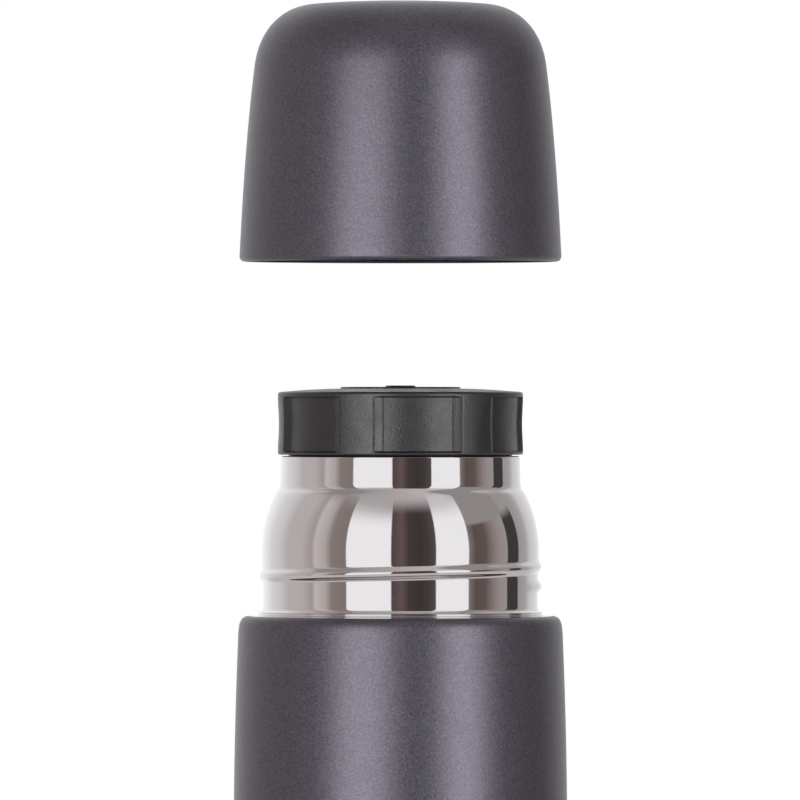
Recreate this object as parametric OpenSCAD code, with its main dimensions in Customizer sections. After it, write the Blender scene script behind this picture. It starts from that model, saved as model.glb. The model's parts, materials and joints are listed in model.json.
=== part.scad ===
// Vacuum flask, 0.5 litre: a double-walled steel bottle with a polished neck, a screw stopper and a cup.
// Frame: origin at the centre of the base, +Z up, -Y is the front. Millimetres.
// The cup is drawn lifted off, cup_raise above its closed place, as its joints have it at rest.

/* [Body] */
// Outer diameter of the coated barrel
body_d = 70; // [68:0.5:74]
// Height of the shoulder, where the barrel ends
shoulder_z = 190; // [170:1:210]
// Wall of every steel shell
wall = 0.5; // [0.4:0.05:0.6]

/* [Neck] */
// Outer diameter of the neck at its widest, under the dome
neck_d = 58; // [57.6:0.1:58.2]
// Outer diameter of the short cylinder under the stopper
mouth_d = 50.2; // [49.8:0.1:50.6]
// Height of the mouth above the shoulder
neck_h = 33.8; // [33.4:0.1:34.2]
// Inner diameter of the bottle's throat
throat_d = 46.2; // [46:0.1:46.4]
// Pitch of the thread rolled into the neck
neck_pitch = 4.1; // [3.9:0.1:4.2]

/* [Stopper] */
// Outer diameter of the grip
grip_d = 51.4; // [50.8:0.1:52]
// Height of the grip's side
grip_h = 13.15; // [12.4:0.05:13.4]
// How many finger recesses the grip has
recess_count = 6; // [5:1:8]
// Depth of a finger recess
recess_depth = 1.1; // [0.6:0.1:1.4]
// How far the stopper's two-start thread rises in one turn
plug_lead = 8; // [7.6:0.1:8.4]

/* [Cup] */
// Outer diameter at the cup's rim
cup_d = 67.5; // [67:0.1:68]
// Height of the cup
cup_h = 54.6; // [54:0.1:56]
// How far the cup stands above its closed place
cup_raise = 74.1; // [60:0.1:90]

/* [Hidden] */
$fn = 96;

coat = "#55525a";
steel = "#d8d6d4";
plastic = "#2b2a2c";
rubber = "#1c1c1e";
foam = "#efece2";

fit = 0.05;            // gap between pieces that are welded or pressed together
thread_gap = 0.25;     // radial gap between a thread's crest and the wall it faces
body_r = body_d / 2;
neck_r = neck_d / 2;
mouth_r = mouth_d / 2;
throat_r = throat_d / 2;
mouth_z = shoulder_z + neck_h;

// Barrel
foot_r = body_r - 3.8;            // where the flat foot ring meets the round bottom edge
foot_inner_r = foot_r - 1.2;
straight_top_z = shoulder_z - 55; // above this the barrel draws in a little
shell_rim_r = body_r - 3.2;       // where the barrel meets the collar
shell_rim_z = shoulder_z + 0.25;

// Neck
dome_r = 26.9;                    // radius of the dome's outline
dome_z = shoulder_z + 13.8;       // height of its centre
dome_angle = 29.6;
thread_z = shoulder_z + 6.5;      // the rolled thread's height on the right-hand side
thread_proud = 0.8;
thread_w = 3;
thread_turn = 400;
thread_fade = 25;                 // the thread fades in and out over this angle
lip_h = 1.6;                      // height of the dressed weld round the mouth
lip_round_h = 1.2;

// Bottle
bottle_r = body_r - 3.9;
bottle_z = 9;
seat_z = mouth_z - 20.5;          // the waist that the stopper's seal rests on
seat_r = throat_r - 2.7;          // inner radius of that waist
throat_thread_z = mouth_z - 15;
throat_thread_h = 0.7;
throat_thread_w = 2;

// Base
base_z = 3.6;
vent_r = 1.2;
cover_z = 0.6;

// Stopper
grip_r = grip_d / 2;
grip_z = mouth_z + 0.25;
grip_top_z = grip_z + grip_h;
crown_h = 0.7;                    // rise of the grip's domed top
disc_r = 12.6;
disc_sunk = 1;
disc_proud = 0.35;
nub_r = 3.1;
recess_floor_angle = 34.4;
recess_ramp_angle = 4.5;
recess_first_angle = -81.2;       // the middle of the front recess
lip_top = 1;                      // grip left standing above and below a recess
lip_bottom = 0.5;
gasket_r = mouth_r - 1.6;
gasket_groove = 0.6;              // how deep the rim gasket sits in the grip's underside
plug_r = throat_r - throat_thread_h - thread_gap - 0.05;
plug_thread_r = throat_r - thread_gap;
plug_thread_w = 1.6;
plug_thread_drop = 1.05;          // how far its ridges lie under the throat's
plug_end_z = mouth_z - 24.5;
spigot_r = seat_r - 0.6;
bore_r = spigot_r - 2;
seal_top_z = seat_z + 3.4;
pour_slot_w = 9;
pour_slot_depth = 1.4;

// Cup
rim_gap = 0.4;                    // the closed cup's height over the shoulder
cup_z = shoulder_z + rim_gap + cup_raise;
cup_r = cup_d / 2;
cup_top_z = cup_z + cup_h;
ring_root_r = neck_r + thread_proud + thread_gap;
ring_crest_r = neck_r + thread_gap;
ring_h = 12;
ring_thread_w = 1.6;
ring_thread_drop = 1.35;          // how far its ridge lies under the neck's when closed
ring_thread_from = 40;
ring_thread_turn = 300;

// A path is a list of [radius, height] points, from the bottom up, with the axis on its left

function bezier(a, b, c, d, n) =
    [for (i = [1:n]) let (t = i / n, s = 1 - t) s*s*s*a + 3*s*s*t*b + 3*s*t*t*c + t*t*t*d];
function arc(centre, r, from, to, n) =
    [for (i = [0:n]) let (a = from + (to - from) * i / n) centre + r * [cos(a), sin(a)]];
function left_of(v) = [-v[1], v[0]] / norm(v);
function corner_normal(before, after) =
    let (n = (before + after) / norm(before + after)) n / (n * before);
function inset(path, t) =
    [for (i = [0:len(path) - 1])
        let (
            before = left_of(path[max(i, 1)] - path[max(i, 1) - 1]),
            after = left_of(path[min(i, len(path) - 2) + 1] - path[min(i, len(path) - 2)])
        )
        let (p = path[i] + t * corner_normal(before, after)) [max(p[0], 0), p[1]]];
function reversed(path) = [for (i = [len(path) - 1:-1:0]) path[i]];

// A thin shell of revolution, its wall on the axis side of the path
module shell(path, t = wall) {
    rotate_extrude() polygon(concat(path, reversed(inset(path, t))));
}

module ring(r_in, r_out, z, h) {
    rotate_extrude() translate([r_in, z]) square([r_out - r_in, h]);
}

// A helical ridge on a cylinder of radius r: it stands out by height, or in if height is negative,
// starts at angle from and height z, turns through turn degrees, and fades in and out at its ends.
module helix_ridge(r, height, w, pitch, z, from, turn, root = 0.15, fade = thread_fade) {
    steps = ceil(turn / 6);
    side = sign(height);
    function grown(a) = max(0.02, min(1, a / fade, (turn - a) / fade));
    profile = [
        [-root, -w / 2], [0, -w / 2], [0.8, -w / 5], [1, 0], [0.8, w / 5], [0, w / 2], [-root, w / 2]
    ];
    n = len(profile);
    points = [for (i = [0:steps], p = profile)
        let (
            a = turn * i / steps,
            out = p[0] < 0 ? p[0] : p[0] * abs(height) * grown(a),
            radius = r + side * out
        )
        [radius * cos(from + a), radius * sin(from + a), z + pitch * a / 360 + p[1]]];
    function quad(i, j) = [i * n + j, i * n + (j + 1) % n, (i + 1) * n + (j + 1) % n, (i + 1) * n + j];
    function turned(face) = side > 0 ? face : reversed(face);
    polyhedron(
        points = points,
        faces = concat(
            [turned(reversed([for (j = [0:n - 1]) j]))],
            [turned([for (j = [0:n - 1]) steps * n + j])],
            [for (i = [0:steps - 1], j = [0:n - 1]) turned(quad(i, j))]
        )
    );
}

// Flask

barrel_path = concat(
    [[foot_inner_r, 0]],
    arc([foot_r, 3.8], 3.8, -90, 0, 6),
    [[body_r, straight_top_z]],
    bezier(
        [body_r, straight_top_z], [body_r, shoulder_z - 30],
        [body_r - 0.45, shoulder_z - 17], [body_r - 0.98, shoulder_z - 3.6], 7
    ),
    bezier(
        [body_r - 0.98, shoulder_z - 3.6], [body_r - 1.14, shoulder_z - 1.4],
        [body_r - 1.25, shoulder_z + 0.15], [shell_rim_r, shell_rim_z], 6
    )
);

module outer_shell() {
    color(coat) shell(barrel_path);
}

neck_path = concat(
    [[shell_rim_r - fit, shell_rim_z], [neck_r + 0.7, shoulder_z + 0.8]],
    arc([neck_r + 0.76, shoulder_z + 1.9], 1, 250, 190, 3),
    [[neck_r - 0.22, shoulder_z + 8], [neck_r, dome_z]],
    arc([neck_r - dome_r, dome_z], dome_r, 4, dome_angle, 8),
    [[mouth_r + 0.1, shoulder_z + 27.7], [mouth_r - 0.05, mouth_z - lip_h]]
);

module neck_collar() {
    color(steel) union() {
        shell(neck_path);
        helix_ridge(
            neck_r - 0.2, thread_proud + 0.2, thread_w, neck_pitch,
            thread_z - neck_pitch * thread_fade / 360, -thread_fade, thread_turn
        );
    }
}

// The weld that closes the vacuum space where collar and bottle meet, dressed to a round lip
module mouth_seam() {
    lip_outer = mouth_r - 0.05;
    round_r = (lip_outer - throat_r) / 2;
    color(steel) rotate_extrude() polygon(concat(
        [[throat_r, mouth_z - lip_h + fit], [lip_outer, mouth_z - lip_h + fit]],
        [for (p = arc([0, 0], 1, 0, 180, 10))
            [throat_r + round_r + round_r * p[0], mouth_z - lip_round_h + lip_round_h * p[1]]]
    ));
}

bottle_path = concat(
    [[0, bottle_z], [bottle_r - 9, bottle_z - 0.4]],
    arc([bottle_r - 7, bottle_z + 6.6], 7, -90, 0, 6),
    [[bottle_r, shoulder_z - 20]],
    bezier(
        [bottle_r, shoulder_z - 20], [bottle_r, shoulder_z - 8],
        [throat_r + 4, shoulder_z - 1], [throat_r + 1.6, shoulder_z + 6], 7
    ),
    [
        [seat_r + wall, seat_z - 0.8], [seat_r + wall, seat_z + 0.8],
        [throat_r + wall, seat_z + 3.6], [throat_r + wall, mouth_z - lip_h]
    ]
);

module inner_bottle() {
    color(steel) union() {
        shell(bottle_path);
        for (start = [0, 180])
            rotate(start) helix_ridge(
                throat_r + 0.1, -throat_thread_h - 0.1, throat_thread_w, plug_lead,
                throat_thread_z, 0, 330
            );
    }
}

// Copper-plated foil that keeps radiant heat in, wrapped round the bottle inside the vacuum
module radiation_foil() {
    color("#b87a4b") ring(bottle_r + 0.12, bottle_r + 0.3, 18, shoulder_z - 42);
}

vacuum_base_path = concat(
    [[vent_r, base_z + 1.1], [4, base_z + 1.1], [5.6, base_z], [body_r - 5.5, base_z]],
    arc([body_r - 5.5, base_z + 4.5], body_r - wall - fit - (body_r - 5.5), -60, 0, 4),
    [[body_r - wall - fit, base_z + 8]]
);

module vacuum_base() {
    color(steel) shell(vacuum_base_path, 0.6);
}

getter_at = [17, 0, base_z + 0.6 + fit];

module getter_holder() {
    color(steel) translate(getter_at) difference() {
        cylinder(r = 5.2, h = 2.2);
        translate([0, 0, 0.3]) cylinder(r = 4.6, h = 2.2);
    }
}

module getter_pellet() {
    color("#6d6a66") translate(getter_at + [0, 0, 0.3 + fit]) cylinder(r = 4.5, h = 1.4);
}

// Glass bead that seals the hole the air was drawn out of
module evacuation_seal() {
    color("#7fa08c") rotate_extrude() polygon(concat(
        [[0, base_z + 1.05]],
        arc([0, base_z + 1.05], 2.4, -90, 0, 6)
    ));
}

module base_pad() {
    color(foam) ring(9, 26, cover_z + wall + fit, base_z - cover_z - wall - 2 * fit);
}

module base_cover() {
    cover_r = foot_inner_r - 0.1;
    path = [
        [0, cover_z], [cover_r - 5, cover_z], [cover_r - 4, cover_z - 0.35],
        [cover_r - 1.2, cover_z - 0.35], [cover_r, cover_z]
    ];
    color(steel) shell(path, wall);
}

// Stopper

// One finger recess, cut from the top of its floor outwards, with a ramp at each side
module recess_cutter() {
    half = recess_floor_angle / 2;
    floor_r = grip_r - recess_depth;
    outer = half + recess_ramp_angle;
    translate([0, 0, grip_z + lip_bottom])
        linear_extrude(grip_h - lip_bottom - lip_top)
            polygon(concat(
                arc([0, 0], floor_r, -half, half, 8),
                [
                    (grip_r + 0.01) * [cos(outer), sin(outer)],
                    (grip_r + 2) * [cos(outer), sin(outer)],
                    (grip_r + 3) * [1, 0],
                    (grip_r + 2) * [cos(outer), -sin(outer)],
                    (grip_r + 0.01) * [cos(outer), -sin(outer)]
                ]
            ));
}

module stopper_grip() {
    color(plastic) difference() {
        rotate_extrude() polygon(concat(
            [
                [plug_r + fit, grip_z + gasket_groove], [gasket_r + fit, grip_z + gasket_groove],
                [gasket_r + fit, grip_z], [grip_r - 0.4, grip_z], [grip_r, grip_z + 0.4]
            ],
            arc([grip_r - 0.6, grip_top_z - 0.6], 0.6, 0, 80, 3),
            [
                [disc_r + fit, grip_top_z + crown_h], [disc_r + fit, grip_top_z + crown_h - disc_sunk],
                [0, grip_top_z + crown_h - disc_sunk], [0, grip_top_z - 2], [plug_r + fit, grip_top_z - 2]
            ]
        ));
        for (i = [0:recess_count - 1])
            rotate(recess_first_angle + i * 360 / recess_count) recess_cutter();
    }
}

module stopper_top_disc() {
    bottom = grip_top_z + crown_h - disc_sunk + fit;
    top = grip_top_z + crown_h + disc_proud;
    color(plastic) rotate_extrude() polygon(concat(
        [[0, bottom], [disc_r, bottom]],
        arc([disc_r - 0.3, top - 0.3], 0.3, 0, 90, 3),
        [[nub_r, top], [nub_r - 0.3, top + 0.3], [0, top + 0.3]]
    ));
}

// Tube with two pour slots down its sides; each slot breaks the two-start thread
module stopper_plug() {
    color(plastic) union() {
        difference() {
            rotate_extrude() polygon([
                [bore_r, plug_end_z], [spigot_r, plug_end_z], [spigot_r, seal_top_z + fit],
                [plug_r, seal_top_z + fit], [plug_r, grip_top_z - 2 - fit], [bore_r, grip_top_z - 2 - fit]
            ]);
            for (side = [0, 180])
                rotate(side) translate([plug_r - pour_slot_depth, -pour_slot_w / 2, seal_top_z + 1.2])
                    cube([4, pour_slot_w, mouth_z - 1.5 - seal_top_z - 1.2]);
        }
        for (side = [0, 180], level = [0, 1])
            rotate(side) helix_ridge(
                plug_r - 0.1, plug_thread_r - plug_r + 0.1, plug_thread_w, plug_lead,
                throat_thread_z + plug_lead * (15 / 360 + level / 2) - plug_thread_drop,
                15, 150, fade = 12
            );
    }
}

module stopper_foam() {
    color(foam) translate([0, 0, plug_end_z + 1.6])
        cylinder(r = bore_r - 0.15, h = grip_top_z - 2.3 - plug_end_z - 1.6);
}

module stopper_end_cap() {
    color(plastic) rotate_extrude() polygon([
        [0, plug_end_z - 1.2], [spigot_r - 0.8, plug_end_z - 1.2], [spigot_r, plug_end_z - 0.4],
        [spigot_r, plug_end_z - fit], [bore_r - 0.15, plug_end_z - fit],
        [bore_r - 0.15, plug_end_z + 1.4], [0, plug_end_z + 1.4]
    ]);
}

// Silicone ring on the plug's spigot, pressed down on the seat in the throat
module stopper_seal() {
    inner = spigot_r + fit;
    color("#c9c7c2") rotate_extrude() polygon([
        [inner, seat_z + 1], [seat_r, seat_z + 1.1], [seat_r + 1.5, seat_z + 2.7],
        [seat_r + 1.5, seal_top_z], [inner, seal_top_z]
    ]);
}

module stopper_rim_gasket() {
    color(rubber) ring(plug_r + fit, gasket_r, mouth_z + fit, grip_z + gasket_groove - mouth_z - 2 * fit);
}

// Cup, drawn upside down over the neck as a lid

cup_path = concat(
    arc([cup_r - 1.1, cup_z + 1.1], 1.1, -110, 0, 4),
    bezier(
        [cup_r, cup_z + 1.1], [cup_r - 0.65, cup_z + 14.5],
        [cup_r - 1.64, cup_z + 29.3], [cup_r - 3.2, cup_z + 41.3], 7
    ),
    bezier(
        [cup_r - 3.2, cup_z + 41.3], [cup_r - 4.15, cup_z + 48.5],
        [cup_r - 8.75, cup_z + 53.5], [cup_r - 15.45, cup_z + 53.95], 9
    ),
    bezier(
        [cup_r - 15.45, cup_z + 53.95], [12, cup_top_z - 0.1],
        [6, cup_top_z], [0, cup_top_z], 4
    )
);

module cup_shell() {
    color(coat) shell(cup_path);
}

liner_path = concat(
    [[ring_root_r + 0.4, cup_z + ring_h + fit]],
    bezier(
        [ring_root_r + 0.4, cup_z + ring_h + fit], [30.3, cup_z + 22],
        [29.6, cup_z + 30], [28.6, cup_z + 39.5], 6
    ),
    bezier(
        [28.6, cup_z + 39.5], [28.4, cup_z + 48], [26, cup_z + 51], [17.5, cup_z + 51.2], 7
    ),
    [[0, cup_z + 51.5]]
);

module cup_liner() {
    color(steel) shell(liner_path);
}

// Plastic ring that closes the gap between the cup's two walls and holds its thread
module cup_thread_ring() {
    outer = cup_r - wall - 0.15;
    color(plastic) union() {
        rotate_extrude() polygon([
            [ring_root_r, cup_z + 0.9], [outer - 0.5, cup_z + 0.9], [outer - 0.5, cup_z + 3],
            [ring_root_r + 1.2, cup_z + 3], [ring_root_r + 1.2, cup_z + ring_h - 1.2],
            [outer - 0.9, cup_z + ring_h - 1.2], [outer - 0.9, cup_z + ring_h],
            [ring_root_r, cup_z + ring_h]
        ]);
        helix_ridge(
            ring_root_r + 0.1, ring_crest_r - ring_root_r - 0.1, ring_thread_w, neck_pitch,
            thread_z + cup_raise + neck_pitch * ring_thread_from / 360 - ring_thread_drop,
            ring_thread_from, ring_thread_turn
        );
    }
}

// Thin band that keeps the cup's two walls from rattling against each other
module cup_spacer() {
    color(foam) ring(ring_root_r + 0.55, ring_root_r + 1.1, cup_z + ring_h + 0.3, 13);
}

module cup_insulation() {
    color(foam) translate([0, 0, cup_z + 51.55]) cylinder(r = 15.5, h = 1.75);
}

outer_shell();
neck_collar();
mouth_seam();
inner_bottle();
radiation_foil();
getter_holder();
getter_pellet();
vacuum_base();
evacuation_seal();
base_pad();
base_cover();
stopper_grip();
stopper_top_disc();
stopper_plug();
stopper_foam();
stopper_end_cap();
stopper_seal();
stopper_rim_gasket();
cup_shell();
cup_liner();
cup_thread_ring();
cup_spacer();
cup_insulation();
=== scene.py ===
import json
import math

import bpy
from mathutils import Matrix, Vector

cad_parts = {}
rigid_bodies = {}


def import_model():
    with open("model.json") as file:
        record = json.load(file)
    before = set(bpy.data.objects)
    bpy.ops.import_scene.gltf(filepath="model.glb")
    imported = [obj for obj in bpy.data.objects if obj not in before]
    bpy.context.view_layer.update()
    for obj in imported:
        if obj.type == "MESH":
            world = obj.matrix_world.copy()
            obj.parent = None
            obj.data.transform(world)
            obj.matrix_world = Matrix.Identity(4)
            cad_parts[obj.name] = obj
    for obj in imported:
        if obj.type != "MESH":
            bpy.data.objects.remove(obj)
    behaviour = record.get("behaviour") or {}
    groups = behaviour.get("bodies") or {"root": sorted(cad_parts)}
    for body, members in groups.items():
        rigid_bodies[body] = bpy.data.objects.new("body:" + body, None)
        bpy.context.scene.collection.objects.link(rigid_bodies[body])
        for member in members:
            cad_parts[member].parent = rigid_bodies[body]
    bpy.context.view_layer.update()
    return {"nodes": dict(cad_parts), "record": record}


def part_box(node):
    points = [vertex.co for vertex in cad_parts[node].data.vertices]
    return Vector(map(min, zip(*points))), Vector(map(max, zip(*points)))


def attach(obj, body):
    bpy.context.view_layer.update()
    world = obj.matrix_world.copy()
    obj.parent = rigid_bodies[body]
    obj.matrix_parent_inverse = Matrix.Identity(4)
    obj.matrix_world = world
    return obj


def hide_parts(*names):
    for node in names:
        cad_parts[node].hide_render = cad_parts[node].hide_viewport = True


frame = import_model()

# A vacuum flask with its cup held over it. Sizes in the tables below are in millimetres and degrees.
mm = 0.001
print("frame loaded:", len(frame["nodes"]), "nodes")


def lowest(node):
    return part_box(node)[0].z / mm


def highest(node):
    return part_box(node)[1].z / mm


def halfWidth(node):
    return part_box(node)[1].x / mm


def bezier(a, b, c, d, count):  # outlines are lists of (radius, height) pairs
    points = []
    for i in range(count + 1):
        t = i / count
        s = 1 - t
        weights = (s * s * s, 3 * s * s * t, 3 * s * t * t, t * t * t)
        points.append(tuple(sum(w * p[k] for w, p in zip(weights, (a, b, c, d))) for k in (0, 1)))
    return points


def arc(centre, radius, start, end, count):
    points = []
    for i in range(count + 1):
        angle = math.radians(start + (end - start) * i / count)
        points.append((centre[0] + radius * math.cos(angle), centre[1] + radius * math.sin(angle)))
    return points


def joined(*parts):
    path = []
    for part in parts:
        for point in part:
            if not path or math.dist(path[-1], point) > 1e-4:
                path.append(point)
    return path


def finer(path, step):  # splits every stretch that is longer than step
    fine = [path[0]]
    for a, b in zip(path, path[1:]):
        cuts = max(1, math.ceil(math.dist(a, b) / step))
        dr, dz = (b[0] - a[0]) / cuts, (b[1] - a[1]) / cuts
        fine += [(a[0] + dr * i, a[1] + dz * i) for i in range(1, cuts + 1)]
    return fine


def inset(path, wall):  # the path moved by the wall's thickness to its left, which is the inside
    moved = []
    for i, (r, z) in enumerate(path):
        before, after = path[max(i, 1) - 1], path[min(i, len(path) - 2) + 1]
        dr, dz = after[0] - before[0], after[1] - before[1]
        if i == 0:
            dr, dz = path[1][0] - r, path[1][1] - z
        if i == len(path) - 1:
            dr, dz = r - path[-2][0], z - path[-2][1]
        size = math.hypot(dr, dz)
        moved.append((max(0, r - wall * dz / size), z + wall * dr / size))
    return moved


def walled(path, wall):
    return path + inset(path, wall)[::-1]


def turned(name, outline, columns=256, crease=35):  # a closed outline turned on the flask's axis
    verts, rings, faces = [], [], []
    for r, z in outline:
        if r < 1e-3:
            rings.append([len(verts)])
            verts.append((0, 0, z * mm))
        else:
            rings.append(range(len(verts), len(verts) + columns))
            for i in range(columns):
                angle = math.tau * i / columns
                verts.append((r * mm * math.cos(angle), r * mm * math.sin(angle), z * mm))
    for low, high in zip(rings, rings[1:] + rings[:1]):
        if len(low) == 1 and len(high) == 1:
            continue
        for i in range(columns):
            j = (i + 1) % columns
            if len(low) == 1:
                faces.append((low[0], high[j], high[i]))
            elif len(high) == 1:
                faces.append((low[i], low[j], high[0]))
            else:
                faces.append((low[i], low[j], high[j], high[i]))
    mesh = bpy.data.meshes.new(name)
    mesh.from_pydata(verts, [], faces)
    mesh.validate()
    mesh.shade_smooth()
    mesh.set_sharp_from_angle(angle=math.radians(crease))
    piece = bpy.data.objects.new(name, mesh)
    bpy.context.scene.collection.objects.link(piece)
    return piece


class Wire:  # an output socket that arithmetic can be written on
    def __init__(self, net, socket):
        self.net, self.socket = net, socket

    def out(self, name):
        return Wire(self.net, self.socket.node.outputs[name])

    def __add__(self, other):
        return self.net.math("ADD", self, other)

    def __sub__(self, other):
        return self.net.math("SUBTRACT", self, other)

    def __rsub__(self, other):
        return self.net.math("SUBTRACT", other, self)

    def __mul__(self, other):
        return self.net.math("MULTIPLY", self, other)

    def __truediv__(self, other):
        return self.net.math("DIVIDE", self, other)

    def __rtruediv__(self, other):
        return self.net.math("DIVIDE", other, self)

    def __pow__(self, other):
        return self.net.math("POWER", self, other)


class Net:  # a node tree being wired
    def __init__(self, tree):
        self.tree = tree
        tree.nodes.clear()

    def add(self, kind, settings=None, sockets=None, out=0):
        node = self.tree.nodes.new(kind)
        for key, value in (settings or {}).items():
            if key == "stops":
                marks = node.color_ramp.elements
                marks[0].position, marks[1].position = value[0][0], value[-1][0]
                marks[0].color, marks[1].color = value[0][1], value[-1][1]
                for place, colour in value[1:-1]:
                    marks.new(place).color = colour
            else:
                setattr(node, key, value)
        for key, value in (sockets or {}).items():
            if isinstance(value, Wire):
                self.tree.links.new(value.socket, node.inputs[key])
            else:
                node.inputs[key].default_value = value
        return Wire(self, node.outputs[out]) if len(node.outputs) else node

    def math(self, operation, *values):
        return self.add("ShaderNodeMath", {"operation": operation}, dict(enumerate(values)))

    def step(self, value, low, high, start=0.0, end=1.0):  # a soft step from start to end
        return self.add("ShaderNodeMapRange", {"interpolation_type": "SMOOTHSTEP"},
                        {0: value, 1: low, 2: high, 3: start, 4: end})

    def blend(self, share, first, second):
        return self.add("ShaderNodeMix", {"data_type": "RGBA"}, {0: share, 6: first, 7: second}, out=2)

    def noise(self, where, size, detail=2.0, roughness=0.5):
        return self.add("ShaderNodeTexNoise", None,
                        {"Vector": where, "Scale": 1 / size, "Detail": detail, "Roughness": roughness})


def modifierTree(name, inputs):  # its inputs are a mesh, some named numbers and a material
    tree = bpy.data.node_groups.new(name, "GeometryNodeTree")
    tree.interface.new_socket("Geometry", in_out="INPUT", socket_type="NodeSocketGeometry")
    tree.interface.new_socket("Geometry", in_out="OUTPUT", socket_type="NodeSocketGeometry")
    for title, value in inputs.items():
        socket = tree.interface.new_socket(title, in_out="INPUT", socket_type="NodeSocketFloat")
        socket.default_value = value
    tree.interface.new_socket("Material", in_out="INPUT", socket_type="NodeSocketMaterial")
    return Net(tree)


def pointPlace(net):  # x, y, height, distance from the axis and angle of each point
    split = net.add("ShaderNodeSeparateXYZ", None, {0: net.add("GeometryNodeInputPosition")})
    x, y, z = split, split.out("Y"), split.out("Z")
    return x, y, z, (x * x + y * y) ** 0.5, net.math("ARCTAN2", y, x)


def pushOut(net, source, x, y, distance, height, chosen):  # also ends the tree
    offset = net.add("ShaderNodeCombineXYZ", None, {0: x / distance * height, 1: y / distance * height})
    moved = net.add("GeometryNodeSetPosition", None,
                    {"Geometry": source, "Selection": chosen, "Offset": offset})
    real = net.add("GeometryNodeRealizeInstances", None, {"Geometry": moved})
    dressed = net.add("GeometryNodeSetMaterial", None,
                      {"Geometry": real, "Material": source.out("Material")})
    net.add("NodeGroupOutput", None, {"Geometry": dressed})


def ridgeTree():  # a helical ridge, pushed out of a turned wall, that fades at both ends
    net = modifierTree("helical ridge", {
        "Lead": 4.0, "Ridge Height": 0.8, "Ridge Width": 3.0, "Start Angle": 0.0, "Turn": 400.0,
        "Start Height": 200.0, "Fade Angle": 25.0, "Least Radius": 0.0, "Most Radius": 99.0})
    source = net.add("NodeGroupInput")
    x, y, z, distance, angle = pointPlace(net)
    lead, width = source.out("Lead") * mm, source.out("Ridge Width") * mm
    past = net.math("FLOORED_MODULO", angle - source.out("Start Angle") * (math.pi / 180), math.tau)
    level = z - source.out("Start Height") * mm
    lap = net.math("ROUND", level / lead - past / math.tau)
    along = past + lap * math.tau
    away = net.math("ABSOLUTE", level - along * lead / math.tau) / width * 2
    bell = net.math("COSINE", net.math("MINIMUM", away, 1) * (math.pi / 2)) ** 1.6
    degrees = along * (180 / math.pi)
    nearEnd = net.math("MINIMUM", degrees, source.out("Turn") - degrees)
    fade = net.step(nearEnd, 0.0, source.out("Fade Angle"))
    inWall = (net.math("GREATER_THAN", distance, source.out("Least Radius") * mm)
              * net.math("LESS_THAN", distance, source.out("Most Radius") * mm))
    pushOut(net, source, x, y, distance, bell * fade * source.out("Ridge Height") * mm, inWall)
    return net.tree


def recessTree():  # flat recesses spaced evenly round a turned wall
    net = modifierTree("finger recesses", {
        "Count": 6.0, "Depth": 1.1, "Floor Angle": 34.0, "Ramp Angle": 4.7, "First Angle": 0.0,
        "Bottom": 0.0, "Top": 10.0, "Bottom Slope": 0.3, "Top Slope": 0.3, "Least Radius": 0.0})
    source = net.add("NodeGroupInput")
    x, y, z, distance, angle = pointPlace(net)
    degrees = angle * (180 / math.pi) - source.out("First Angle")
    period = 360 / source.out("Count")
    fromMiddle = net.math("ABSOLUTE", net.math("FLOORED_MODULO", degrees + period / 2, period) - period / 2)
    floorHalf = source.out("Floor Angle") / 2
    ramp = net.add("ShaderNodeMapRange", None,
                   {0: fromMiddle, 1: floorHalf, 2: floorHalf + source.out("Ramp Angle"), 3: 0.0, 4: 1.0})
    across = 1 - (ramp * 0.7 + net.step(ramp, 0.0, 1.0) * 0.3)
    low, high = source.out("Bottom") * mm, source.out("Top") * mm
    upright = (net.step(z, low, low + source.out("Bottom Slope") * mm)
               * (1 - net.step(z, high - source.out("Top Slope") * mm, high)))
    inWall = net.math("GREATER_THAN", distance, source.out("Least Radius") * mm)
    pushOut(net, source, x, y, distance, 0 - across * upright * source.out("Depth") * mm, inWall)
    return net.tree


ridges, recesses = ridgeTree(), recessTree()


def shaped(piece, jobs, material, crease=35):  # runs the trees in turn and keeps a plain mesh
    for tree, values in jobs:
        modifier = piece.modifiers.new(tree.name, "NODES")
        modifier.node_group = tree
        sockets = {s.name: s.identifier for s in tree.interface.items_tree if s.in_out == "INPUT"}
        for title, value in values.items():
            modifier[sockets[title]] = float(value)
        modifier[sockets["Material"]] = material
    bpy.context.view_layer.update()
    seen = piece.evaluated_get(bpy.context.evaluated_depsgraph_get())
    plain = bpy.data.meshes.new_from_object(seen)
    piece.modifiers.clear()
    piece.data = plain
    plain.shade_smooth()
    plain.set_sharp_from_angle(angle=math.radians(crease))


def place(piece, body, node, material):
    if piece.data.materials:
        piece.data.materials.clear()
    piece.data.materials.append(material)
    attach(piece, body)
    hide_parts(node)
    print("made", piece.name, len(piece.data.polygons), "faces")
    return piece


slotOf = {part["node"]: part["material_slot"] for part in frame["record"]["subparts"]}


def newFinish(name):
    material = bpy.data.materials.new(name)
    material.use_nodes = True
    net = Net(material.node_tree)
    return material, net, net.add("ShaderNodeTexCoord", None, None, "Object")


def bumped(net, height, depth, strength):
    return net.add("ShaderNodeBump", None, {"Height": height, "Distance": depth, "Strength": strength})


def finishWith(net, **sockets):
    names = {"colour": "Base Color", "metal": "Metallic", "roughness": "Roughness", "normal": "Normal",
             "specular": "Specular IOR Level"}
    shader = net.add("ShaderNodeBsdfPrincipled", None, {names[k]: v for k, v in sockets.items()})
    net.add("ShaderNodeOutputMaterial", None, {"Surface": shader})


def grey(level, warmth=0.0):
    return (level * (1 + warmth), level, level * (1 - warmth), 1)


coating = {"dark": (0.070, 0.065, 0.082, 1), "light": (0.162, 0.152, 0.187, 1), "metal": 0.68,
           "roughness": 0.37, "flakeSize": 0.00022, "stippleSize": 0.00042, "stippleDepth": 0.00003}


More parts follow.
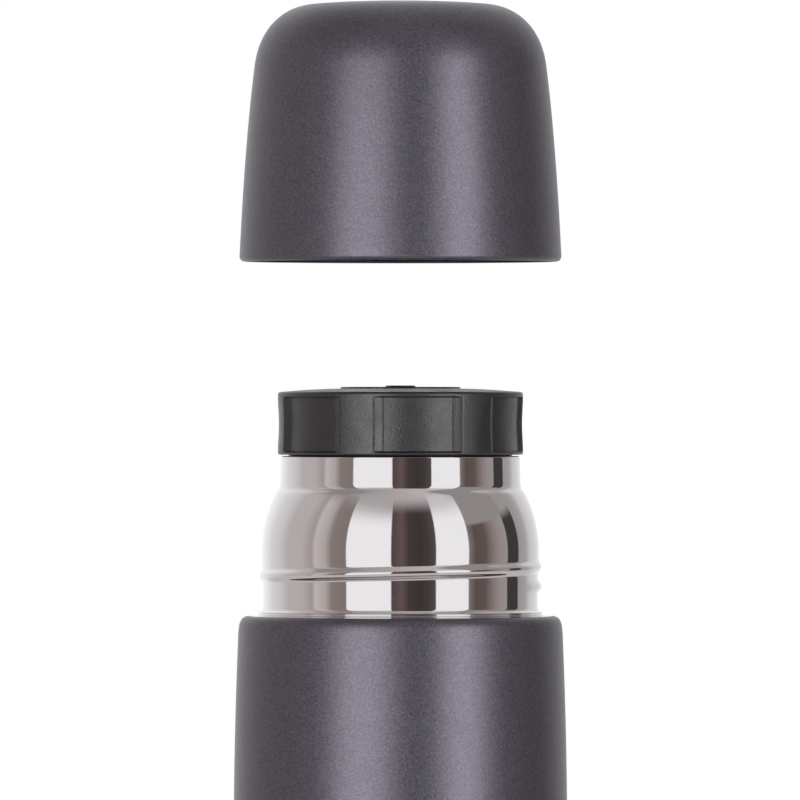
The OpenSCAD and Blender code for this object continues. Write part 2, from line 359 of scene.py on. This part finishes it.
def coatedFinish(name, look):
    material, net, where = newFinish(name)
    flakes = net.add("ShaderNodeTexVoronoi", None,
                     {"Vector": where, "Scale": 1 / look["flakeSize"]}, "Color")
    glint = net.add("ShaderNodeSeparateColor", None, {0: flakes})
    stipple = net.noise(where, look["stippleSize"], 3.0, 0.6)
    cloud = net.noise(where, 0.006, 3.0)
    share = net.step(glint, 0.1, 1.0) * 0.42 + net.step(stipple, 0.35, 0.7) * 0.28 + cloud * 0.12
    normal = bumped(net, stipple + glint * 0.25, look["stippleDepth"], 0.55)
    finishWith(net, colour=net.blend(share, look["dark"], look["light"]), metal=look["metal"],
               roughness=net.step(stipple, 0.3, 0.7, look["roughness"] - 0.05, look["roughness"] + 0.06),
               normal=normal)
    return material


mirrorSteel = {"colour": (0.82, 0.81, 0.815, 1), "roughness": 0.03, "smear": 0.03, "wave": 0.000003}


def polishedFinish(name, look):
    material, net, where = newFinish(name)
    smear = net.noise(where, 0.004, 4.0, 0.65)
    stretched = net.add("ShaderNodeMapping", None, {"Vector": where, "Scale": (0.25, 0.25, 6.0)})
    hair = net.noise(stretched, 0.0016, 2.0)
    roughness = net.step(smear, 0.45, 0.8, look["roughness"], look["roughness"] + look["smear"])
    finishWith(net, colour=look["colour"], metal=1.0, roughness=roughness,
               normal=bumped(net, smear + hair * 0.08, look["wave"], 0.6))
    return material


def brushedFinish(name, colour, roughness, lineSize=0.00018, depth=0.000008):
    material, net, where = newFinish(name)
    split = net.add("ShaderNodeSeparateXYZ", None, {0: where})
    x, y = split, split.out("Y")
    ringed = net.add("ShaderNodeCombineXYZ", None, {
        0: net.math("ARCTAN2", y, x) * 0.0012, 1: (x * x + y * y) ** 0.5, 2: split.out("Z")})
    lines = net.noise(ringed, lineSize, 3.0, 0.7)
    stain = net.noise(where, 0.012, 3.0)
    pale = tuple(min(1, c * 1.12) for c in colour[:3]) + (1,)
    dark = tuple(c * 0.82 for c in colour[:3]) + (1,)
    finishWith(net, colour=net.blend(net.step(lines, 0.3, 0.7) * 0.7 + stain * 0.3, dark, pale), metal=1.0,
               roughness=net.step(lines, 0.25, 0.75, roughness - 0.06, roughness + 0.08),
               normal=bumped(net, lines, depth, 0.5))
    return material


def mouldedFinish(name, colour, roughness, grain=0.00035, depth=0.00002, strength=0.4, shine=0.5):
    material, net, where = newFinish(name)
    pebbles = net.noise(where, grain, 3.0, 0.6)
    cloud = net.noise(where, 0.005, 4.0, 0.6)
    squeezed = net.add("ShaderNodeMapping", None, {"Vector": where, "Scale": (1.0, 1.0, 3.5)})
    scuffs = net.noise(squeezed, 0.0012, 5.0, 0.7)
    rubbed = net.step(scuffs, 0.58, 0.75)
    pale = tuple(c * 1.35 + 0.004 for c in colour[:3]) + (1,)
    finishWith(net, colour=net.blend(cloud * 0.6 + rubbed * 0.4, colour, pale),
               roughness=net.step(cloud, 0.3, 0.7, roughness - 0.05, roughness + 0.06) + rubbed * 0.06,
               normal=bumped(net, pebbles + rubbed * 0.15, depth, strength), specular=shine)
    return material


def softFinish(name, colour, roughness, cell=0.0012):
    material, net, where = newFinish(name)
    cells = net.add("ShaderNodeTexVoronoi", None, {"Vector": where, "Scale": 1 / cell}, "Distance")
    tone = net.noise(where, 0.004, 3.0)
    pale = tuple(min(1, c * 1.15) for c in colour[:3]) + (1,)
    finishWith(net, colour=net.blend(tone * 0.6 + cells * 0.4, colour, pale), roughness=roughness,
               normal=bumped(net, cells, 0.0001, 0.4))
    return material


def foilFinish(name, colour):
    material, net, where = newFinish(name)
    crease = net.add("ShaderNodeTexVoronoi", {"feature": "DISTANCE_TO_EDGE"},
                     {"Vector": where, "Scale": 90.0})
    tone = net.noise(where, 0.01, 3.0)
    finishWith(net, colour=net.blend(tone, colour, grey(0.75, 0.2)), metal=1.0,
               roughness=net.step(tone, 0.3, 0.7, 0.2, 0.34),
               normal=bumped(net, net.step(crease, 0.0, 0.08), 0.0002, 0.6))
    return material


def beadFinish(name, colour):
    material, net, where = newFinish(name)
    tone = net.noise(where, 0.001, 3.0)
    finishWith(net, colour=net.blend(tone, colour, grey(0.5)),
               roughness=net.step(tone, 0.3, 0.7, 0.06, 0.16), normal=bumped(net, tone, 0.00005, 0.3))
    return material


finishes = {
    "coated_steel": coatedFinish("coatedBarrel", coating),
    "cup_coated_steel": coatedFinish("coatedCup", coating),
    "polished_steel": polishedFinish("polishedNeck", mirrorSteel),
    "mouth_steel": polishedFinish("dressedLip", mirrorSteel),
    "brushed_steel": brushedFinish("brushedBottle", (0.60, 0.59, 0.58), 0.30),
    "liner_steel": brushedFinish("spunLiner", (0.64, 0.63, 0.62), 0.26, 0.00022),
    "cover_steel": brushedFinish("spunFoot", (0.58, 0.57, 0.56), 0.32, 0.0003),
    "base_steel": brushedFinish("drawnBase", (0.52, 0.51, 0.50), 0.38, 0.0005),
    "pressed_steel": brushedFinish("pressedHolder", (0.52, 0.51, 0.50), 0.40, 0.0004),
    "copper_foil": foilFinish("radiantFoil", (0.72, 0.42, 0.27, 1)),
    "getter": softFinish("sinteredGetter", (0.06, 0.055, 0.05, 1), 0.9, 0.0004),
    "seal_glass": beadFinish("glassBead", (0.20, 0.34, 0.26, 1)),
    "pad_foam": softFinish("padFoam", (0.55, 0.54, 0.50, 1), 0.9),
    "grip_plastic": mouldedFinish("grippedPlastic", (0.006, 0.0055, 0.0065, 1), 0.36, 0.00032, 0.00006,
                                  1.0, 0.72),
    "disc_plastic": mouldedFinish("discPlastic", (0.011, 0.010, 0.011, 1), 0.42),
    "plug_plastic": mouldedFinish("plugPlastic", (0.012, 0.011, 0.012, 1), 0.30, 0.0006, 0.000012),
    "end_cap_plastic": mouldedFinish("endCapPlastic", (0.012, 0.011, 0.012, 1), 0.26, 0.0008, 0.00001),
    "ring_plastic": mouldedFinish("ringPlastic", (0.012, 0.011, 0.012, 1), 0.36),
    "gasket_rubber": mouldedFinish("blackGasket", (0.018, 0.018, 0.019, 1), 0.62, 0.0003),
    "silicone": mouldedFinish("paleSilicone", (0.52, 0.51, 0.49, 1), 0.5, 0.0005),
    "core_foam": softFinish("coreFoam", (0.80, 0.78, 0.72, 1), 0.95),
    "spacer_foam": softFinish("spacerFoam", (0.60, 0.59, 0.56, 1), 0.95),
    "cup_foam": softFinish("cupFoam", (0.80, 0.78, 0.72, 1), 0.95),
}
for node, thing in frame["nodes"].items():
    for hold in thing.material_slots:
        hold.material = finishes[slotOf[node]]
print("finishes:", len(finishes))


rimRise = 0.25  # how far the barrel's rim turns up past the shoulder
barrel = {"radius": halfWidth("outer_shell"), "top": highest("outer_shell") - rimRise, "wall": 0.5,
          "footRound": 3.8, "footWidth": 1.2, "straightEnd": 55, "rimRadius": 31.8, "columns": 288}


def makeBarrel(b):
    top, r = b["top"], b["radius"]
    foot = r - b["footRound"]
    edge, rim = (r - 0.98, top - 3.6), (b["rimRadius"], top + rimRise)
    outer = joined(
        [(foot - b["footWidth"], 0), (foot, 0)],
        arc((foot, b["footRound"]), b["footRound"], -90, 0, 14),
        finer([(r, b["footRound"]), (r, top - b["straightEnd"])], 12),
        bezier((r, top - b["straightEnd"]), (r, top - 30), (r - 0.45, top - 17), edge, 22),
        bezier(edge, (r - 1.14, top - 1.4), (r - 1.25, top + 0.15), rim, 16))
    piece = turned("coatedBarrel", walled(outer, b["wall"]), b["columns"])
    return place(piece, "flask", "outer_shell", finishes["coated_steel"])


collar = {"foot": barrel["top"], "footRadius": halfWidth("neck_collar"), "radius": 29.0, "domeRadius": 26.9,
          "domeHeight": 13.8, "domeAngle": 26.5, "mouthRadius": 25.05, "top": highest("neck_collar"),
          "wall": 0.27, "columns": 320, "threadHeight": 6.5, "threadLead": 4.1, "threadProud": 0.8,
          "threadWidth": 3.1, "threadFade": 25, "threadTurn": 400}


def makeCollar(c):
    z, r = c["foot"], c["radius"]
    centre = (r - c["domeRadius"], z + c["domeHeight"])
    dome = arc(centre, c["domeRadius"], 0, c["domeAngle"], 34)
    slope = math.radians(c["domeAngle"])
    last = dome[-1]
    handle = (last[0] - math.sin(slope), last[1] + math.cos(slope))
    beadTop, threadLow, threadHigh = (28.78, z + 2.05), (28.78, z + 3.6), (28.80, z + 8.0)
    throat = (c["mouthRadius"] + 0.12, z + 28.2)
    outer = joined(
        bezier((c["footRadius"], z + rimRise), (31.3, z + 0.31), (30.7, z + 0.42), (30.1, z + 0.5), 8),
        arc((30.05, z + 0.82), 0.3, -82, -262, 12),
        bezier((30.0, z + 1.11), (29.4, z + 1.03), (28.85, z + 1.3), beadTop, 14),
        finer([beadTop, threadLow], 0.3),
        finer([threadLow, threadHigh], 0.15),
        finer(bezier(threadHigh, (28.83, z + 9.5), (28.97, z + 11.5), (r, z + 13.0), 8), 0.15),
        [(r, z + c["domeHeight"])], dome,
        bezier(last, handle, (c["mouthRadius"] + 0.13, z + 26.7), throat, 14),
        finer([throat, (c["mouthRadius"], c["top"])], 1.0))
    inner = inset(joined(outer[::5], outer[-1:]), c["wall"])  # never seen, so coarser than the outside
    piece = turned("polishedCollar", outer + inner[::-1], c["columns"], 50)
    thread = {"Lead": c["threadLead"], "Ridge Height": c["threadProud"], "Ridge Width": c["threadWidth"],
              "Start Angle": -c["threadFade"], "Turn": c["threadTurn"], "Fade Angle": c["threadFade"],
              "Start Height": z + c["threadHeight"] - c["threadLead"] * c["threadFade"] / 360,
              "Least Radius": r - 0.35}
    shaped(piece, [(ridges, thread)], finishes["polished_steel"], 50)
    return place(piece, "flask", "neck_collar", finishes["polished_steel"])


lip = {"inner": 23.1, "outer": collar["mouthRadius"], "bottom": highest("neck_collar"),
       "top": highest("mouth_seam"), "round": 0.4}


def makeLip(lp):
    r, level = lp["round"], lp["top"] - lp["round"]
    outline = joined([(lp["inner"], lp["bottom"]), (lp["outer"], lp["bottom"])],
                     arc((lp["outer"] - r, level), r, 0, 90, 8),
                     arc((lp["inner"] + r, level), r, 90, 180, 8))
    piece = turned("dressedLip", outline, 320)
    return place(piece, "flask", "mouth_seam", finishes["mouth_steel"])


bottle = {"radius": 31.1, "bottom": 9.0, "throatRadius": 23.1, "seatRadius": 20.4,
          "seat": lip["top"] - 20.5, "top": highest("inner_bottle"), "wall": 0.5, "ridgeHeight": 0.7,
          "ridgeWidth": 2.2, "lead": 8, "threadHeight": lip["top"] - 15, "threadTurn": 330, "columns": 256}


def makeBottle(b):
    z, seat, wall = barrel["top"], b["seat"], b["wall"]
    r, low, throat = b["radius"], b["bottom"], b["throatRadius"]
    waist, mouth = b["seatRadius"] + wall, throat + wall
    outer = joined(
        bezier((0, low), (8, low), (16, low - 0.4), (r - 7, low - 0.4), 10),
        arc((r - 7, low + 6.6), 7, -90, 0, 14),
        finer([(r, low + 6.6), (r, z - 20)], 15),
        bezier((r, z - 20), (r, z - 8), (throat + 4, z - 1), (throat + 1.6, z + 6), 18),
        [(waist, seat - 0.8), (waist, seat + 0.8), (mouth, seat + 3.6)],
        finer([(mouth, seat + 3.6), (mouth, b["top"])], 0.2))
    piece = turned("brushedBottle", walled(outer, wall), b["columns"])
    jobs = [(ridges, {"Lead": b["lead"], "Ridge Height": -b["ridgeHeight"], "Ridge Width": b["ridgeWidth"],
                      "Start Angle": start, "Turn": b["threadTurn"], "Fade Angle": 25,
                      "Start Height": b["threadHeight"],
                      "Most Radius": throat + 0.2, "Least Radius": b["seatRadius"] + 0.4})
            for start in (0, 180)]
    shaped(piece, jobs, finishes["brushed_steel"])
    return place(piece, "flask", "inner_bottle", finishes["brushed_steel"])


footCover = {"radius": halfWidth("base_cover"), "height": 0.6, "wall": 0.5, "bead": 0.35}


def makeFootCover(f):
    r, z = f["radius"], f["height"]
    low = z - f["bead"]
    outer = joined([(0, z)], bezier((0, z), (9, z), (18, z), (r - 5.2, z), 6),
                   bezier((r - 5.2, z), (r - 4.6, z), (r - 4.5, low), (r - 3.9, low), 8),
                   bezier((r - 3.9, low), (r - 2.6, low), (r - 1.3, low), (r, z), 8))
    piece = turned("spunFootCover", walled(outer, f["wall"]), 256)
    return place(piece, "flask", "base_cover", finishes["cover_steel"])


makeBarrel(barrel)
makeCollar(collar)
makeLip(lip)
makeBottle(bottle)
makeFootCover(footCover)


grip = {"radius": halfWidth("stopper_grip"), "bottom": lowest("stopper_grip"), "height": 13.15,
        "waist": 0.2, "boreRadius": 22.15, "crown": 0.7, "discRadius": 12.65, "discSunk": 1.0, "columns": 720,
        "recessCount": 6, "recessDepth": 1.1, "recessFloor": 34.4, "recessRamp": 4.5, "recessFirst": -81.2,
        "lipTop": 0.95, "lipBottom": 0.45, "grooveRadius": halfWidth("stopper_rim_gasket") + 0.05,
        "groove": 0.6}


def makeGrip(g):
    r, z, top = g["radius"], g["bottom"], g["bottom"] + g["height"]
    bore, groove, disc = g["boreRadius"], g["grooveRadius"], g["discRadius"]
    crown, steps = top + g["crown"], 60
    low, side = z + 0.4, g["height"] - 1.0
    waisted = [(r - g["waist"] * math.sin(math.pi * i / steps) ** 2, low + side * i / steps)
               for i in range(steps + 1)]
    outline = joined(
        [(bore, z + g["groove"]), (groove, z + g["groove"]), (groove, z), (r - 0.4, z)],
        arc((r - 0.4, low), 0.4, -90, 0, 5), waisted,
        arc((r - 0.6, top - 0.6), 0.6, 0, 82, 8),
        bezier((r - 0.52, top - 0.01), (r - 4, top + 0.3), (disc + 5, crown - 0.05), (disc, crown), 12),
        [(disc, crown - g["discSunk"]), (0, crown - g["discSunk"]), (0, top - 2), (bore, top - 2)])
    piece = turned("ribbedGrip", outline, g["columns"], 30)
    cut = {"Count": g["recessCount"], "Depth": g["recessDepth"], "Floor Angle": g["recessFloor"],
           "Ramp Angle": g["recessRamp"], "First Angle": g["recessFirst"], "Bottom": z + g["lipBottom"],
           "Top": top - g["lipTop"], "Bottom Slope": 0.35, "Top Slope": 0.25, "Least Radius": r - 1}
    shaped(piece, [(recesses, cut)], finishes["grip_plastic"], 30)
    return place(piece, "stopper", "stopper_grip", finishes["grip_plastic"])


topDisc = {"radius": halfWidth("stopper_top_disc"), "bottom": lowest("stopper_top_disc"),
           "top": highest("stopper_top_disc") - 0.3, "bossRadius": 3.1, "boss": 0.3}


def makeTopDisc(d):
    r, top, boss, bossTop = d["radius"], d["top"], d["bossRadius"], d["top"] + d["boss"]
    outline = joined([(0, d["bottom"]), (r, d["bottom"])], arc((r - 0.3, top - 0.3), 0.3, 0, 90, 6),
                     finer([(r - 0.3, top), (boss + 0.15, top)], 2),
                     arc((boss - 0.15, bossTop - 0.15), 0.15, 0, 90, 4), [(0, bossTop)])
    piece = turned("insetDisc", outline, 256)
    return place(piece, "stopper", "stopper_top_disc", finishes["disc_plastic"])


plug = {"radius": 22.1, "boreRadius": 17.8, "spigotRadius": 19.8, "bottom": lowest("stopper_plug"),
        "top": highest("stopper_plug"), "sealTop": highest("stopper_seal") + 0.05, "threadProud": 0.75,
        "threadWidth": 1.7, "threadFrom": 15, "threadTurn": 150, "drop": 1.05, "slotDepth": 1.4,
        "slotAngle": 21.0, "columns": 384}


def makePlug(p):
    r, low, spigot, step = p["radius"], p["bottom"], p["spigotRadius"], p["sealTop"]
    outline = joined(
        [(p["boreRadius"], low), (spigot - 0.2, low), (spigot, low + 0.2), (spigot, step), (r - 0.2, step)],
        finer([(r, step + 0.2), (r, p["top"])], 0.16),
        [(p["boreRadius"], p["top"])])
    piece = turned("threadedPlug", outline, p["columns"])
    base = bottle["threadHeight"] + bottle["lead"] * p["threadFrom"] / 360 - p["drop"]
    jobs = [(ridges, {"Lead": bottle["lead"], "Ridge Height": p["threadProud"],
                      "Ridge Width": p["threadWidth"], "Start Angle": side + p["threadFrom"],
                      "Turn": p["threadTurn"], "Fade Angle": 12, "Least Radius": r - 0.3,
                      "Start Height": base + bottle["lead"] * level / 2})
            for side in (0, 180) for level in (0, 1)]
    jobs.append((recesses, {"Count": 2, "Depth": p["slotDepth"], "Floor Angle": p["slotAngle"],
                            "Ramp Angle": 1.6, "First Angle": 0, "Bottom": step + 1.1,
                            "Top": lip["top"] - 1.4, "Bottom Slope": 0.4, "Top Slope": 0.4,
                            "Least Radius": r - 0.3}))
    shaped(piece, jobs, finishes["plug_plastic"])
    return place(piece, "stopper", "stopper_plug", finishes["plug_plastic"])


endCap = {"radius": halfWidth("stopper_end_cap"), "bottom": lowest("stopper_end_cap"),
          "spigot": plug["boreRadius"] - 0.15, "top": highest("stopper_end_cap"),
          "rim": plug["bottom"] - 0.05}


def makeEndCap(e):
    r, z = e["radius"], e["bottom"]
    outline = joined([(0, z), (r - 3.2, z)],
                     bezier((r - 3.2, z), (r - 1.6, z), (r, z + 0.1), (r, z + 1.0), 8),
                     [(r, e["rim"]), (e["spigot"], e["rim"]), (e["spigot"], e["top"]), (0, e["top"])])
    piece = turned("plugEndCap", outline)
    return place(piece, "stopper", "stopper_end_cap", finishes["end_cap_plastic"])


seal = {"inner": 19.85, "mid": 20.4, "outer": 21.9, "bottom": lowest("stopper_seal"),
        "top": highest("stopper_seal")}


def makeSeal(s):
    z = s["bottom"]
    outline = joined([(s["inner"], z), (s["mid"], z + 0.1)],
                     bezier((s["mid"], z + 0.1), (20.9, z + 0.55), (21.6, z + 1.3),
                            (s["outer"], z + 1.75), 8),
                     arc((s["outer"] - 0.25, s["top"] - 0.25), 0.25, 0, 90, 4), [(s["inner"], s["top"])])
    piece = turned("siliconeSeal", outline)
    return place(piece, "stopper_carriage", "stopper_seal", finishes["silicone"])


gasket = {"inner": plug["radius"] + 0.05, "outer": halfWidth("stopper_rim_gasket"),
          "bottom": lowest("stopper_rim_gasket"), "top": highest("stopper_rim_gasket")}


def makeGasket(g):
    outline = joined([(g["inner"], g["bottom"]), (g["outer"] - 0.15, g["bottom"])],
                     arc((g["outer"] - 0.15, g["bottom"] + 0.15), 0.15, -90, 0, 3),
                     [(g["outer"], g["top"]), (g["inner"], g["top"])])
    piece = turned("rimGasket", outline)
    return place(piece, "stopper", "stopper_rim_gasket", finishes["gasket_rubber"])


makeGrip(grip)
makeTopDisc(topDisc)
makePlug(plug)
makeEndCap(endCap)
makeSeal(seal)
makeGasket(gasket)


cup = {"radius": halfWidth("cup_shell"), "rim": lowest("cup_shell"), "top": highest("cup_shell"),
       "wall": 0.5, "rimRound": 1.1, "columns": 288}


def makeCup(c):
    r, z, top = c["radius"], c["rim"], c["top"]
    outer = joined(
        arc((r - c["rimRound"], z + c["rimRound"]), c["rimRound"], -110, 0, 12),
        bezier((r, z + c["rimRound"]), (r - 0.65, z + 14.5), (r - 1.64, z + 29.3), (r - 3.2, z + 41.3), 26),
        bezier((r - 3.2, z + 41.3), (r - 4.15, z + 48.5), (r - 8.75, z + 53.5), (r - 15.45, z + 53.95), 34),
        bezier((r - 15.45, z + 53.95), (12, top - 0.1), (6, top), (0, top), 12))
    piece = turned("coatedCup", walled(outer, c["wall"]), c["columns"])
    return place(piece, "cup", "cup_shell", finishes["cup_coated_steel"])


liner = {"foot": cup["rim"] + 12.05, "footRadius": halfWidth("cup_liner"), "wall": 0.5}


def makeLiner(s):
    z = cup["rim"]
    outer = joined(
        bezier((s["footRadius"], s["foot"]), (30.3, z + 22), (29.6, z + 30), (28.6, z + 39.5), 18),
        bezier((28.6, z + 39.5), (28.4, z + 48), (26, z + 51), (17.5, z + 51.2), 24),
        bezier((17.5, z + 51.2), (11, z + 51.35), (5, z + 51.5), (0, z + 51.5), 8))
    piece = turned("spunLiner", walled(outer, s["wall"]), 256)
    return place(piece, "cup_thread_carriage", "cup_liner", finishes["liner_steel"])


threadRing = {"inner": 30.05, "bottom": lowest("cup_thread_ring"), "top": highest("cup_thread_ring"),
              "outer": halfWidth("cup_thread_ring"), "ridgeHeight": 0.85, "ridgeWidth": 1.8,
              "threadFrom": 40, "threadTurn": 300, "drop": 1.35, "raise": 74.1, "columns": 320}


def makeThreadRing(t):
    low, high, r = t["bottom"], t["top"], t["inner"]
    outline = joined(
        [(r + 0.25, low), (t["outer"], low), (t["outer"], low + 2.1), (r + 1.2, low + 2.1),
         (r + 1.2, high - 1.2), (t["outer"] - 0.4, high - 1.2), (t["outer"] - 0.4, high), (r, high)],
        finer([(r, high), (r, low + 0.25)], 0.15)[1:])
    piece = turned("cupThreadRing", outline, t["columns"])
    lead = collar["threadLead"]
    start = barrel["top"] + collar["threadHeight"] + t["raise"] + lead * t["threadFrom"] / 360 - t["drop"]
    thread = {"Lead": lead, "Ridge Height": -t["ridgeHeight"], "Ridge Width": t["ridgeWidth"],
              "Start Angle": t["threadFrom"], "Turn": t["threadTurn"], "Fade Angle": 25,
              "Start Height": start, "Most Radius": r + 0.1}
    shaped(piece, [(ridges, thread)], finishes["ring_plastic"])
    return place(piece, "cup", "cup_thread_ring", finishes["ring_plastic"])


makeCup(cup)
makeLiner(liner)
makeThreadRing(threadRing)


studio = {"distance": 2.6, "height": 0.2355, "aside": -0.0001, "frameWidth": 0.1677, "floorRadius": 4.0,
          "floor": (0.80, 0.80, 0.80, 1), "boxDistance": 1.5, "boxLevel": 0.21, "boxPower": (3.0, 3.45),
          # each box: the angle of its middle, its width, bottom, top and the fade above it
          "boxes": [(-27.0, 38.0, -34, 20, 33), (44.5, 29.0, -34, 24, 36)], "boxColour": (0.98, 0.97, 0.985)}

bareSteel = ("polished_steel", "mouth_steel", "brushed_steel", "liner_steel", "cover_steel", "base_steel")
litThings = bpy.data.collections.new("litByBoxes")  # bare steel mirrors the room's own light boxes instead
bpy.context.scene.collection.children.link(litThings)


def lightWithBoxes():
    for thing in list(bpy.context.scene.collection.objects) + list(frame["nodes"].values()):
        slots = [hold.material.name for hold in thing.material_slots if hold.material]
        if thing.type == "MESH" and not any(finishes[slot].name in slots for slot in bareSteel):
            if thing.name not in litThings.objects:
                litThings.objects.link(thing)


def makeBox(power, middle, width, bottom, top, fade):
    away, turn = studio["boxDistance"], math.radians(middle)
    wide = 2 * away * math.tan(math.radians(width) / 2)
    low, high = away * math.tan(math.radians(bottom)), away * math.tan(math.radians(top))
    lamp = bpy.data.lights.new("softBox", "AREA")
    lamp.shape, lamp.size, lamp.size_y = "RECTANGLE", wide, high - low
    lamp.energy = power * math.pi * wide * (high - low)
    holder = bpy.data.objects.new("softBox", lamp)
    holder.location = (away * math.sin(turn), -away * math.cos(turn), studio["boxLevel"] + (low + high) / 2)
    holder.rotation_euler = (math.radians(90), 0, turn)
    holder.visible_camera = False
    bpy.context.scene.collection.objects.link(holder)
    holder.light_linking.receiver_collection = litThings


# the room round the flask, from behind on the left, past the camera at 0, to behind on the right
walls = [(-180, (0.98, 0.98, 0.98)), (-158, (0.95, 0.94, 0.94)), (-146, (0.86, 0.85, 0.85)),
         (-136, (0.75, 0.74, 0.74)), (-122, (0.68, 0.655, 0.66)), (-109, (0.535, 0.485, 0.485)),
         (-91, (0.53, 0.47, 0.46)), (-80, (0.4, 0.355, 0.35)), (-76, (0.6, 0.535, 0.52)),
         (-66, (0.47, 0.43, 0.415)), (-60, (0.27, 0.22, 0.205)), (-48, (0.245, 0.2, 0.19)),
         (-7, (0.09, 0.068, 0.066)), (1, (0.14, 0.098, 0.096)), (7, (0.062, 0.049, 0.046)),
         (17, (0.052, 0.04, 0.038)), (23, (0.06, 0.052, 0.052)), (59, (0.24, 0.2, 0.19)),
         (66, (0.12, 0.09, 0.084)), (76, (0.13, 0.098, 0.092)), (86, (0.28, 0.235, 0.225)),
         (93, (0.34, 0.3, 0.295)), (99, (0.35, 0.32, 0.315)), (120, (0.37, 0.35, 0.345)),
         (130, (0.42, 0.41, 0.405)), (138, (0.64, 0.63, 0.63)), (160, (0.8, 0.79, 0.79)),
         (180, (0.98, 0.98, 0.98))]
ceiling = [(-180, (0.85, 0.84, 0.84)), (-125, (0.52, 0.49, 0.49)), (-106, (0.5, 0.465, 0.465)),
           (-102, (0.31, 0.275, 0.27)), (-70, (0.3, 0.265, 0.26)), (-45, (0.4, 0.375, 0.375)),
           (-10, (0.47, 0.42, 0.415)), (30, (0.55, 0.5, 0.5)), (48, (0.54, 0.5, 0.5)),
           (62, (0.25, 0.22, 0.215)), (76, (0.3, 0.26, 0.25)), (95, (0.42, 0.38, 0.37)),
           (118, (0.56, 0.53, 0.53)), (180, (0.85, 0.84, 0.84))]
# dimmer panels: the angle of the middle, width, bottom, top, fade above and colour of each
panels = [(80, 46, 22, 60, 25, (0.31, 0.285, 0.28)), (109, 15, -60, 17, 7, (0.055, 0.047, 0.047))]
room = {"ceilingFrom": 33, "ceilingTo": 51, "ground": (0.56, 0.52, 0.52, 1), "groundFrom": -27,
        "groundTo": -12}


def makeWorld():
    world = bpy.data.worlds.new("studioRoom")
    world.use_nodes = True
    bpy.context.scene.world = world
    net = Net(world.node_tree)
    direction = net.add("ShaderNodeTexCoord", None, None, "Generated")
    split = net.add("ShaderNodeSeparateXYZ", None, {0: direction})
    x, y, z = split, split.out("Y"), split.out("Z")
    compass = net.math("ARCTAN2", x, 0 - y) * (0.5 / math.pi) + 0.5
    bands = []
    for table in (walls, ceiling):
        stops = [((angle + 180) / 360, colour + (1,)) for angle, colour in table]
        bands.append(net.add("ShaderNodeValToRGB", {"stops": stops}, {0: compass}))
    rise = net.math("ARCSINE", z) * (180 / math.pi)
    shown = net.blend(net.step(rise, room["ceilingFrom"], room["ceilingTo"]), *bands)
    lights = [box + (studio["boxColour"],) for box in studio["boxes"]]
    for middle, width, bottom, top, fade, colour in panels + lights:
        aside = net.math("ABSOLUTE", compass * 360 - (180 + middle))
        inside = (net.step(aside, width / 2 - 0.4, width / 2 + 0.8, 1.0, 0.0)
                  * net.step(rise, bottom - 3, bottom) * net.step(rise, top, top + fade, 1.0, 0.0))
        shown = net.blend(inside, shown, colour + (1,))
    shown = net.blend(net.step(rise, room["groundFrom"], room["groundTo"]), room["ground"], shown)
    seen = net.add("ShaderNodeLightPath", None, None, "Is Camera Ray")
    lit = net.add("ShaderNodeBackground", None, {"Color": shown, "Strength": 1.0})
    plain = net.add("ShaderNodeBackground", None, {"Color": grey(1.0), "Strength": 1.0})
    mix = net.add("ShaderNodeMixShader", None, {0: seen, 1: lit, 2: plain})
    net.add("ShaderNodeOutputWorld", None, {"Surface": mix})


def makeFloor():
    count, radius = 128, studio["floorRadius"]
    mesh = bpy.data.meshes.new("paleFloor")
    angles = [math.tau * i / count for i in range(count)]
    ring = [(radius * math.cos(angle), radius * math.sin(angle), 0) for angle in angles]
    mesh.from_pydata(ring, [], [tuple(range(count))])
    floor = bpy.data.objects.new("paleFloor", mesh)
    floor.visible_glossy = False
    bpy.context.scene.collection.objects.link(floor)
    material, net, where = newFinish("paleFloor")
    split = net.add("ShaderNodeSeparateXYZ", None, {0: where})
    far = (split * split + split.out("Y") * split.out("Y")) ** 0.5
    roughness = net.step(net.noise(where, 0.02, 3.0), 0.3, 0.7, 0.5, 0.6)
    matt = net.add("ShaderNodeBsdfPrincipled", None, {"Base Color": studio["floor"], "Roughness": roughness})
    glow = net.add("ShaderNodeEmission", None, {"Color": grey(1.0), "Strength": 1.0})
    mix = net.add("ShaderNodeMixShader", None, {0: net.step(far, 0.35, radius * 0.5), 1: matt, 2: glow})
    net.add("ShaderNodeOutputMaterial", None, {"Surface": mix})
    mesh.materials.append(material)


makeFloor()
lightWithBoxes()
for power, box in zip(studio["boxPower"], studio["boxes"]):
    makeBox(power, *box)
makeWorld()

camera = bpy.data.objects.new("camera", bpy.data.cameras.new("camera"))
camera.data.sensor_width = 36
camera.data.lens = camera.data.sensor_width * studio["distance"] / studio["frameWidth"]
camera.data.clip_end = 60
camera.location = (studio["aside"], -studio["distance"], studio["height"])
camera.rotation_euler = (math.radians(90), 0, 0)
bpy.context.scene.collection.objects.link(camera)
bpy.context.scene.camera = camera
bpy.context.scene.view_settings.view_transform = "Standard"
print("studio ready")
